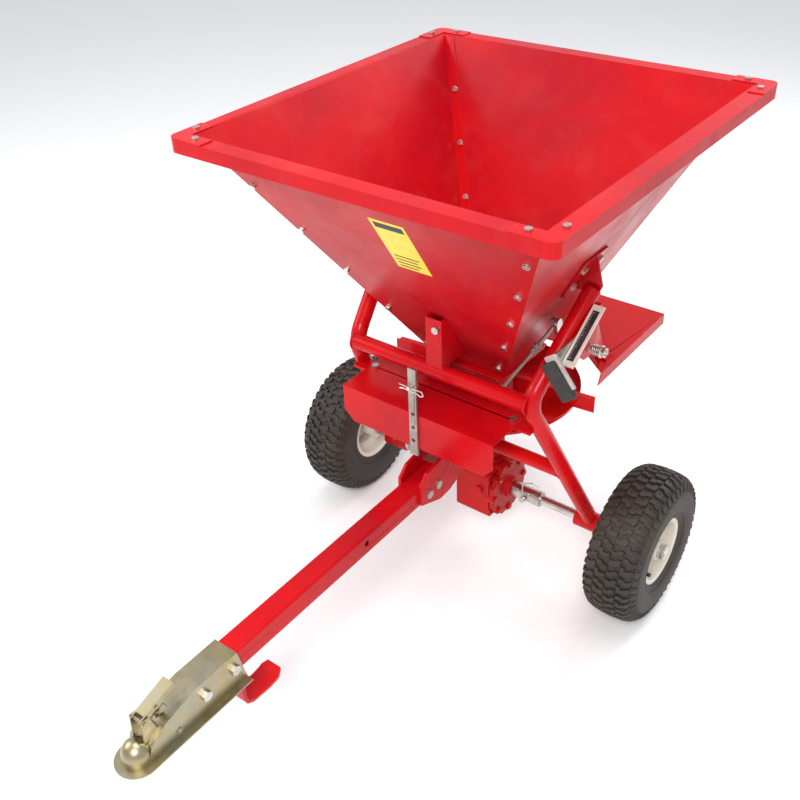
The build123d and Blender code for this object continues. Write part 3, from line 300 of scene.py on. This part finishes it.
# ---- edges of the CAD parts: a small bevel catches the light -------------------------------------
BEVEL = {"red_paint": 0.0009, "red_casting": 0.0022, "yellow_zinc": 0.0008, "bright_zinc": 0.0005,
         "grey_zinc": 0.0006, "cream_paint": 0.0008, "ground_steel": 0.0006, "black_grip": 0.0006,
         "scale_metal": 0.0004}
ALREADY_ROUND = ("tyre_left", "tyre_right", "lever_spring", "r_clip", "linch_pin")


def soften(obj, width, segments=2):
    """Joins the faces' shared edges, rounds the sharp ones and smooths the rest."""
    weld = obj.modifiers.new("weld", "WELD")
    weld.merge_threshold = 0.00002
    bevel = obj.modifiers.new("bevel", "BEVEL")
    bevel.width = width
    bevel.segments = segments
    bevel.limit_method = "ANGLE"
    bevel.angle_limit = math.radians(32)
    bevel.use_clamp_overlap = True
    normals = obj.modifiers.new("normals", "WEIGHTED_NORMAL")
    normals.weight = 80
    normals.keep_sharp = True
    for face in obj.data.polygons:
        face.use_smooth = True


for name, obj in nodes.items():
    width = BEVEL.get(slot_of[name])
    if width and name not in ALREADY_ROUND:
        soften(obj, width)


# ---- mesh helpers ---------------------------------------------------------------------------------
def finish_mesh(name, bm, mat, body, smooth=True):
    """Turns a bmesh into a piece that rides on a body."""
    bmesh.ops.recalc_face_normals(bm, faces=bm.faces)
    mesh = bpy.data.meshes.new(name)
    bm.to_mesh(mesh)
    bm.free()
    for face in mesh.polygons:
        face.use_smooth = smooth
    obj = bpy.data.objects.new(name, mesh)
    bpy.context.scene.collection.objects.link(obj)
    dress(obj, mat)
    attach(obj, body)
    return obj


def smooth_by_angle(obj, degrees=35.0):
    """Keeps edges sharper than the angle crisp."""
    bm = bmesh.new()
    bm.from_mesh(obj.data)
    limit = math.radians(degrees)
    for edge in bm.edges:
        if len(edge.link_faces) == 2 and edge.calc_face_angle(0.0) > limit:
            edge.smooth = False
    bm.to_mesh(obj.data)
    bm.free()


# ---- turf tyres -----------------------------------------------------------------------------------
R = tyre_high.z - AXLE.z
CROWN = [(0.0, 0.0), (0.020, 0.0009), (0.039, 0.0034), (0.0485, 0.0070), (0.0592, 0.0160),
         (0.0645, 0.0300), (0.0674, 0.0480), (0.0679, 0.0620), (0.0669, 0.0740)]
GROOVE = 0.0062
BLOCKS_ROUND = 46
BLOCK_COLUMNS = (-42.5, -14.2, 14.2, 42.5)


def crown_drop(v):
    """How far the tread surface lies below the full radius at an offset across the tyre."""
    v = abs(v)
    for (v0, d0), (v1, d1) in zip(CROWN, CROWN[1:]):
        if v <= v1:
            return d0 + (d1 - d0) * (v - v0) / (v1 - v0)
    return CROWN[-1][1]


def carcass_profile():
    """Half profile from the crown's middle to the bead, as (across, radius); grooves at tread depth."""
    points = []
    for v in (0.0, 0.008, 0.016, 0.024, 0.032, 0.039, 0.045, 0.0505, 0.0552):
        points.append((v, R - crown_drop(v) - GROOVE))
    points += [(0.0588, R - 0.0215), (0.0620, R - 0.0290), (0.0648, R - 0.0380), (0.0652, R - 0.0400),
               (0.0664, R - 0.0402), (0.0668, R - 0.0420), (0.0676, R - 0.0500), (0.0679, R - 0.0600),
               (0.0675, R - 0.0700), (0.0662, R - 0.0780), (0.0640, R - 0.0850), (0.0650, R - 0.0858),
               (0.0645, R - 0.0875), (0.0622, R - 0.0880), (0.0598, R - 0.0940), (0.0575, R - 0.0980),
               (0.0560, R - 0.1020), (0.0530, R - 0.1070), (0.0500, R - 0.1108)]
    return points


def lathe(bm, profile, centre, steps, close=False):
    """Turns (across, radius) points about the X axis through centre."""
    rings = []
    for step in range(steps):
        angle = 2 * math.pi * step / steps
        rings.append([bm.verts.new((centre.x + a, centre.y + r * math.cos(angle),
                                    centre.z + r * math.sin(angle))) for a, r in profile])
    count = len(profile)
    for index, ring in enumerate(rings):
        after = rings[(index + 1) % steps]
        for k in range(count if close else count - 1):
            bm.faces.new((ring[k], ring[(k + 1) % count], after[(k + 1) % count], after[k]))


def inset(outline, amount):
    """A polygon drawn inward by an amount, corner by corner."""
    area = sum(a[0] * b[1] - b[0] * a[1] for a, b in zip(outline, outline[1:] + outline[:1]))
    turn = 1.0 if area > 0 else -1.0
    result = []
    count = len(outline)
    for i in range(count):
        before, here, after = (Vector(outline[(i + k) % count]) for k in (-1, 0, 1))
        first, second = (here - before).normalized(), (after - here).normalized()
        n1, n2 = Vector((-first.y, first.x)) * turn, Vector((-second.y, second.x)) * turn
        half = (n1 + n2) / max(0.35, (n1 + n2).length_squared / 2)
        result.append(tuple(here + half * amount))
    return result


def tread_block(bm, outline, centre, angle0, side):
    """One raised block. The outline is (across, along) in metres; along runs round the tyre."""
    def place(point, lift):
        v, u = point
        radius = R - crown_drop(v) + lift
        angle = angle0 + u / R
        return bm.verts.new((centre.x + side * v, centre.y + radius * math.cos(angle),
                             centre.z + radius * math.sin(angle)))

    fine = []
    for a, b in zip(outline, outline[1:] + outline[:1]):
        parts = max(1, int(math.hypot(b[0] - a[0], b[1] - a[1]) / 0.008))
        fine += [(a[0] + (b[0] - a[0]) * k / parts, a[1] + (b[1] - a[1]) * k / parts)
                 for k in range(parts)]
    top = [place(p, 0.0) for p in inset(fine, 0.0008)]
    edge = [place(p, -0.0008) for p in fine]
    foot = [place(p, -GROOVE - 0.0012) for p in inset(fine, -0.0007)]
    count = len(fine)
    for k in range(count):
        n = (k + 1) % count
        bm.faces.new((top[k], top[n], edge[n], edge[k]))
        bm.faces.new((edge[k], edge[n], foot[n], foot[k]))
    cap = bm.faces.new(top)
    bmesh.ops.triangulate(bm, faces=[cap])


Z_BLOCK = [(-13, 1), (-13, 10), (-3, 10), (3, 4), (13, 4), (13, -5), (2, -5), (-4, 1)]
HOOK_BLOCK = [(-13, -3), (-13, 8), (9, 8), (13, 4), (13, -8), (5, -8), (5, -1), (-5, -1), (-5, -3)]
EDGE_BLOCK = [(-5, -4), (-5, 6), (7, 6), (7, 0), (0, 0), (0, -4)]


def turf_tyre(name, side, body):
    """Carcass with interlocking Z and hook blocks, edge blocks, and short ribs on the shoulders."""
    bm = bmesh.new()
    centre = Vector((side * AXLE.x, AXLE.y, AXLE.z))
    half = carcass_profile()
    inner = [(0.0440, R - 0.1095), (0.0480, R - 0.0980), (0.0550, R - 0.0800), (0.0575, R - 0.0640),
             (0.0545, R - 0.0440), (0.0470, R - 0.0270), (0.0300, R - 0.0190), (0.0, R - 0.0170)]
    loop = [(-a, r) for a, r in reversed(half)] + half[1:]
    loop += inner + [(-a, r) for a, r in reversed(inner[:-1])]
    lathe(bm, loop, centre, 138, close=True)
    step = 2 * math.pi / BLOCKS_ROUND
    for index in range(BLOCKS_ROUND):
        for column, across in enumerate(BLOCK_COLUMNS):
            shape = Z_BLOCK if (index + column // 2) % 2 == 0 else HOOK_BLOCK
            flip = 1 if column % 2 == 0 else -1
            outline = [((across + flip * x) * MM, y * MM * 1.12) for x, y in shape]
            shift = 0.5 * step * (column % 2)
            tread_block(bm, outline, centre, index * step + shift, side)
        for end in (-1, 1):
            outline = [(end * (60.2 + x * 0.28) * MM, y * MM) for x, y in EDGE_BLOCK]
            tread_block(bm, outline, centre, (index + 0.25) * step, side)
            shoulder_rib(bm, centre, (index + 0.5) * step, end)
    obj = finish_mesh(name, bm, RUBBER, body)
    smooth_by_angle(obj, 30)
    return obj


def shoulder_rib(bm, centre, angle, end):
    """Short radial rib where the tread runs out on the side wall."""
    corners = []
    for radius, across in ((R - 0.0180, 0.0594), (R - 0.0345, 0.0652)):
        for turn in (-0.011, 0.011):
            for lift in (-0.002, 0.0016):
                a = angle + turn
                corners.append(bm.verts.new((centre.x + end * (across + lift),
                                             centre.y + radius * math.cos(a),
                                             centre.z + radius * math.sin(a))))
    a, b, c, d, e, f, g, h = corners
    for face in ((b, d, h, f), (a, b, f, e), (c, g, h, d), (a, c, d, b), (e, f, h, g)):
        bm.faces.new(face)


for side, label in ((1, "left"), (-1, "right")):
    piece = turf_tyre(f"turf_tyre_{label}", side, f"wheel_{label}")
    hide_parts(f"tyre_{label}")


# ---- valve stems -----------------------------------------------------------------------------------
def cylinder_between(bm, start, end, radius, steps=16, taper=1.0):
    """A capped cylinder, or a cone with a taper, between two points in metres."""
    line = end - start
    turn = line.to_track_quat("Z", "Y").to_matrix().to_4x4()
    place = Matrix.Translation((start + end) / 2) @ turn
    bmesh.ops.create_cone(bm, cap_ends=True, segments=steps, radius1=radius, radius2=radius * taper,
                          depth=line.length, matrix=place)


for side, label in ((1, "left"), (-1, "right")):
    bm = bmesh.new()
    base = Vector((side * (AXLE.x + 0.012), AXLE.y - 0.040, AXLE.z - 0.041))
    tip = base + Vector((side * 0.030, -0.004, -0.004))
    cylinder_between(bm, base, tip, 0.0042, taper=0.8)
    cylinder_between(bm, tip, tip + Vector((side * 0.010, 0, 0)), 0.0046)
    finish_mesh(f"valve_stem_{label}", bm, BLACK, f"wheel_{label}")


# ---- label on the front panel, with plain bars in place of its print --------------------------------
SHEET = 2.0
LABEL_LIFT, PRINT_LIFT, PRINT_THICK = 0.05, 0.32, 0.08


def front_face(x, z, lift=0.0):
    """A point on the front panel's outer face, or lifted off it; all in mm."""
    y = BASE_FRONT - PANEL_SLOPE * (z - BASE_Z)
    length = math.hypot(1.0, PANEL_SLOPE)
    out = SHEET + lift
    return at(x, y - out / length, z - out * PANEL_SLOPE / length)


def raised_quad(bm, low, high):
    """A closed slab between two loops of four points."""
    low, high = [bm.verts.new(p) for p in low], [bm.verts.new(p) for p in high]
    bm.faces.new(high)
    for k in range(4):
        n = (k + 1) % 4
        bm.faces.new((low[k], low[n], high[n], high[k]))
    bm.faces.new(low[::-1])


def patch(name, x0, x1, z0, z1, lift, mat, slot, thick=0.25):
    """A thin raised rectangle lying on the front panel."""
    bm = bmesh.new()
    corners = ((x0, z0), (x1, z0), (x1, z1), (x0, z1))
    raised_quad(bm, [front_face(x, z, lift) for x, z in corners],
                [front_face(x, z, lift + thick) for x, z in corners])
    finish_mesh(name, bm, mat, "frame", smooth=False)


patch("label_base", -22, 61, 928, 1066, LABEL_LIFT, LABEL, "scale_metal")
patch("label_band", -15, 54, 1044, 1059, PRINT_LIFT, INK, "black_grip", thick=PRINT_THICK)
for row, (x1, z0) in enumerate(((48, 964), (40, 954), (44, 944), (32, 934))):
    patch(f"label_rule_{row}", -13, x1, z0, z0 + 3.4, PRINT_LIFT, INK, "black_grip", thick=PRINT_THICK)


# ---- scale inlay with plain graduations ---------------------------------------------------------------
SCALE_T = 3.0
TICKS, TICK_X = 21, -6.2


def scale_point(across, along, lift):
    """A point on the scale plate: across in mm from its middle, along in 0-1 from top to bottom."""
    spot = Vector(LEDGE_TOP).lerp(Vector(LEDGE_LOW), along) + LEDGE_OUT * (SCALE_T + lift)
    return at(LEDGE_X + across, spot.y, spot.z)


def scale_patch(bm, x0, x1, a0, a1, lift, thick):
    """A thin raised rectangle lying on the scale plate."""
    spots = ((x0, a0), (x1, a0), (x1, a1), (x0, a1))
    raised_quad(bm, [scale_point(x, a, lift) for x, a in spots],
                [scale_point(x, a, lift + thick) for x, a in spots])


bm = bmesh.new()
scale_patch(bm, -7.5, 7.5, 0.09, 0.91, 0.02, 0.3)
finish_mesh("scale_inlay", bm, INK, "frame", smooth=False)
bm = bmesh.new()
for tick in range(TICKS):
    along = 0.13 + 0.74 * tick / (TICKS - 1)
    reach = 5.5 if tick % 5 == 0 else 3.2
    scale_patch(bm, TICK_X, TICK_X + reach, along - 0.003, along + 0.003, 0.33, PRINT_THICK)
finish_mesh("scale_ticks", bm, PALE, "frame", smooth=False)


# ---- weld beads ---------------------------------------------------------------------------------------
def distance_to(point, path):
    """Distance from a point to a polyline."""
    best = 1e9
    for a, b in zip(path, path[1:]):
        line = b - a
        t = max(0.0, min(1.0, (point - a).dot(line) / line.length_squared))
        best = min(best, (point - a - line * t).length)
    return best


def coped_ring(start, direction, radius, path, limit, end=140.0, steps=56):
    """Where a tube's surface first meets the tube that follows path, or its own end; all in mm."""
    direction = direction.normalized()
    one = direction.orthogonal().normalized()
    two = direction.cross(one)
    ring = []
    for step in range(steps):
        angle = 2 * math.pi * step / steps
        side = (one * math.cos(angle) + two * math.sin(angle)) * radius
        reach = 0.0
        while reach < end and distance_to(start + side + direction * reach, path) > limit:
            reach += 0.5
        ring.append(start + side + direction * reach)
    return ring


BEAD_STEP = 2.4


def weld_bead(name, ring, radius=2.6, closed=True):
    """A rippled bead along points in mm: overlapping drops of uneven size, like a hand-laid weld."""
    bm = bmesh.new()
    spots = []
    count = len(ring)
    for k in range(count if closed else count - 1):
        a, b = ring[k], ring[(k + 1) % count]
        parts = max(1, int((b - a).length / BEAD_STEP))
        spots += [a.lerp(b, i / parts) for i in range(parts)]
    for spot in spots:
        size = radius * RNG.uniform(0.88, 1.14) * MM
        jitter = Vector((RNG.uniform(-0.3, 0.3), RNG.uniform(-0.3, 0.3), RNG.uniform(-0.3, 0.3)))
        place = Matrix.Translation(at(*(spot + jitter)))
        bmesh.ops.create_icosphere(bm, subdivisions=2, radius=size, matrix=place)
    finish_mesh(name, bm, RED, "frame")


def tube_path(side):
    """Centre line of a side tube in mm: straight, round elbow, straight."""
    top, bend, foot = [sided(point, side) for point in (TUBE_TOP, TUBE_BEND, TUBE_FOOT)]
    upper, lower = (top - bend).normalized(), (foot - bend).normalized()
    half = upper.angle(lower) / 2
    centre = bend + (upper + lower).normalized() * (ELBOW / math.cos(half))
    first, last = bend + upper * ELBOW - centre, bend + lower * ELBOW - centre
    sweep = math.pi - 2 * half
    arc = []
    for k in range(13):
        t = k / 12
        blend = first * math.sin((1 - t) * sweep) + last * math.sin(t * sweep)
        arc.append(centre + blend / math.sin(sweep))
    return [top] + arc + [foot]


def frame_welds(side, label):
    """Beads where the cross tubes, bearing tube, cheek plate and front bracket join one side."""
    path, outward = tube_path(side), Vector((side, 0, 0))
    _, bar_y, bar_z = TUBE_BEND
    bar = coped_ring(Vector((side * 150, bar_y, bar_z)), outward, TUBE_R, path, TUBE_R, 82.0)
    weld_bead(f"weld_crossbar_{label}", bar)
    member = coped_ring(Vector((side * 180, CROSS_Y, CROSS_Z)), outward, CROSS_R, path, TUBE_R)
    weld_bead(f"weld_cross_member_{label}", member, 2.2)
    foot, down = sided(TUBE_FOOT, side), sided(TUBE_FOOT, side) - sided(TUBE_BEND, side)
    axle_line = [Vector((side * x, DRIVE_Y, AXLE_Z)) for x in (200, 400)]
    bearing = coped_ring(foot - down * 0.22, down, TUBE_R, axle_line, BEARING_R)
    weld_bead(f"weld_bearing_{label}", bearing, 2.4)
    cheek_x, cheek_r, turn = side * 33.4, CROSS_R + 0.4, 0.1309
    circle = [Vector((cheek_x, CROSS_Y + cheek_r * math.cos(k * turn),
                      CROSS_Z + cheek_r * math.sin(k * turn))) for k in range(48)]
    weld_bead(f"weld_cheek_{label}", circle, 2.0)
    crest = (TUBE_R + 0.4) ** 2
    ledge = [Vector((side * 21.5, y, bar_z + math.sqrt(max(0.0, crest - (y - bar_y) ** 2))))
             for y in range(-185, -155, 3)]
    weld_bead(f"weld_bracket_{label}", ledge, 2.0, closed=False)


for side, label in ((1, "left"), (-1, "right")):
    frame_welds(side, label)


# ---- casting details of the gearbox --------------------------------------------------------------------
def casting(name, bm):
    """Finishes a piece of the gearbox casting."""
    smooth_by_angle(finish_mesh(name, bm, RED_CAST, "frame"), 40)


BOLT_CIRCLE, BOSS_R = 67, 0.0125
NECK_FOOT_Z, NECK_HEAD_Z, RIB_HALF = 276, 350, 3.0

bm = bmesh.new()
for turn in range(8):
    angle = math.radians(45 * turn)
    y, z = DRIVE_Y + BOLT_CIRCLE * math.cos(angle), AXLE_Z + BOLT_CIRCLE * math.sin(angle)
    cylinder_between(bm, at(36.5, y, z), at(62.3, y, z), BOSS_R, 20)
casting("cover_bosses", bm)

bm = bmesh.new()
for turn in range(4):
    angle = math.radians(45 + 90 * turn)
    out = Vector((math.cos(angle), math.sin(angle), 0))
    across = Vector((-out.y, out.x, 0)) * RIB_HALF
    sunk = Vector((0, DRIVE_Y, NECK_FOOT_Z)) - Vector((0, 0, 1))
    head_mid = Vector((0, DRIVE_Y, NECK_HEAD_Z))
    foot = [sunk + out * 31, sunk + out * 41.5]
    head = [head_mid + out * 31, head_mid + out * 35.0]
    low = [at(*(p + s * across)) for p, s in ((foot[0], -1), (foot[0], 1), (foot[1], 1), (foot[1], -1))]
    high = [at(*(p + s * across)) for p, s in ((head[0], -1), (head[0], 1), (head[1], 1), (head[1], -1))]
    raised_quad(bm, low, high)
casting("neck_ribs", bm)

bm = bmesh.new()
cylinder_between(bm, at(76, DRIVE_Y, AXLE_Z), at(76.6, DRIVE_Y, AXLE_Z), 0.0245, 40)
casting("seal_ring", bm)


# ---- washers under the bolts of the front seams ------------------------------------------------------------
def washer_at(bm, point, direction, inner, outer, thick, steps=28):
    """Flat ring about a point in metres, facing direction."""
    turn = direction.to_track_quat("Z", "Y").to_matrix().to_4x4()
    place = Matrix.Translation(point) @ turn
    around = [(math.cos(2 * math.pi * k / steps), math.sin(2 * math.pi * k / steps)) for k in range(steps)]
    rings = []
    for radius, height in ((inner, 0.0), (outer, 0.0), (outer, thick), (inner, thick)):
        rings.append([bm.verts.new(place @ Vector((radius * c, radius * d, height))) for c, d in around])
    for i in range(4):
        a, b = rings[i], rings[(i + 1) % 4]
        for k in range(steps):
            n = (k + 1) % steps
            bm.faces.new((a[k], a[n], b[n], b[k]))


SEAM_BOLTS, SEAM_UP, SEAM_DOWN, SEAM_IN = 5, 38, 110, 19     # rows; above the floor, below the rim, inward

lean = math.atan(PANEL_SLOPE)
outward = Vector((0, -math.cos(lean), -math.sin(lean)))
bm = bmesh.new()
for side in (-1, 1):
    for row in range(SEAM_BOLTS):
        z = BASE_Z + SEAM_UP + row * (RIM_Z - SEAM_DOWN - BASE_Z - SEAM_UP) / (SEAM_BOLTS - 1)
        x = side * (BASE_X + (MOUTH_X - BASE_X) * (z - BASE_Z) / (RIM_Z - BASE_Z) - SEAM_IN)
        washer_at(bm, front_face(x, z), outward, 0.0042, 0.0078, 0.0009)
washers = finish_mesh("seam_washers", bm, BRIGHT_ZINC, "frame")
smooth_by_angle(washers, 30)


# ---- floor, lights and camera ---------------------------------------------------------------------------
bm = bmesh.new()
bmesh.ops.create_grid(bm, x_segments=1, y_segments=1, size=9.0)
mesh = bpy.data.meshes.new("floor")
bm.to_mesh(mesh)
bm.free()
floor = bpy.data.objects.new("floor", mesh)
bpy.context.scene.collection.objects.link(floor)
dress(floor, FLOOR)


def area_light(name, place, target, size, power, tint=(1.0, 1.0, 1.0)):
    """A round soft light at place, aimed at target; metres and watts."""
    data = bpy.data.lights.new(name, "AREA")
    data.shape = "DISK"
    data.size = size
    data.energy = power
    data.color = tint
    obj = bpy.data.objects.new(name, data)
    obj.location = place
    obj.rotation_euler = (Vector(target) - Vector(place)).to_track_quat("-Z", "Y").to_euler()
    bpy.context.scene.collection.objects.link(obj)


area_light("key", (1.6, -3.0, 3.6), (0, 0, 0.6), 1.6, 150, (1.0, 0.98, 0.95))
area_light("fill", (-3.2, -1.6, 2.6), (0, 0, 0.6), 2.4, 60, (0.97, 0.98, 1.0))
area_light("rim", (0.8, 3.2, 3.0), (0, 0, 0.7), 2.0, 70)
area_light("top", (0.0, 0.0, 4.6), (0, 0, 0.6), 3.0, 80)

world = bpy.data.worlds.new("studio")
bpy.context.scene.world = world
world.use_nodes = True
world.node_tree.nodes["Background"].inputs["Color"].default_value = (0.95, 0.96, 1.0, 1.0)
world.node_tree.nodes["Background"].inputs["Strength"].default_value = 0.75

AZIMUTH, ELEVATION, ROLL = math.radians(38.81), math.radians(34.65), math.radians(-2.468)
EYE = (1.0964, -1.6727, 1.8438)           # about the middle of the hopper
back = Vector((math.sin(AZIMUTH) * math.cos(ELEVATION), -math.cos(AZIMUTH) * math.cos(ELEVATION),
               math.sin(ELEVATION)))
level = Vector((math.cos(AZIMUTH), math.sin(AZIMUTH), 0.0))
lift = back.cross(level)
right = math.cos(ROLL) * level + math.sin(ROLL) * lift
upward = -math.sin(ROLL) * level + math.cos(ROLL) * lift
camera_data = bpy.data.cameras.new("camera")
camera_data.sensor_width = 36.0
camera_data.lens = 45.25
camera = bpy.data.objects.new("camera", camera_data)
camera.matrix_world = Matrix((
    (right.x, upward.x, back.x, EYE[0]),
    (right.y, upward.y, back.y, EYE[1] + SHIFT_Y),
    (right.z, upward.z, back.z, EYE[2] + SHIFT_Z),
    (0.0, 0.0, 0.0, 1.0)))
bpy.context.scene.collection.objects.link(camera)
bpy.context.scene.camera = camera

bpy.context.scene.view_settings.view_transform = "Standard"
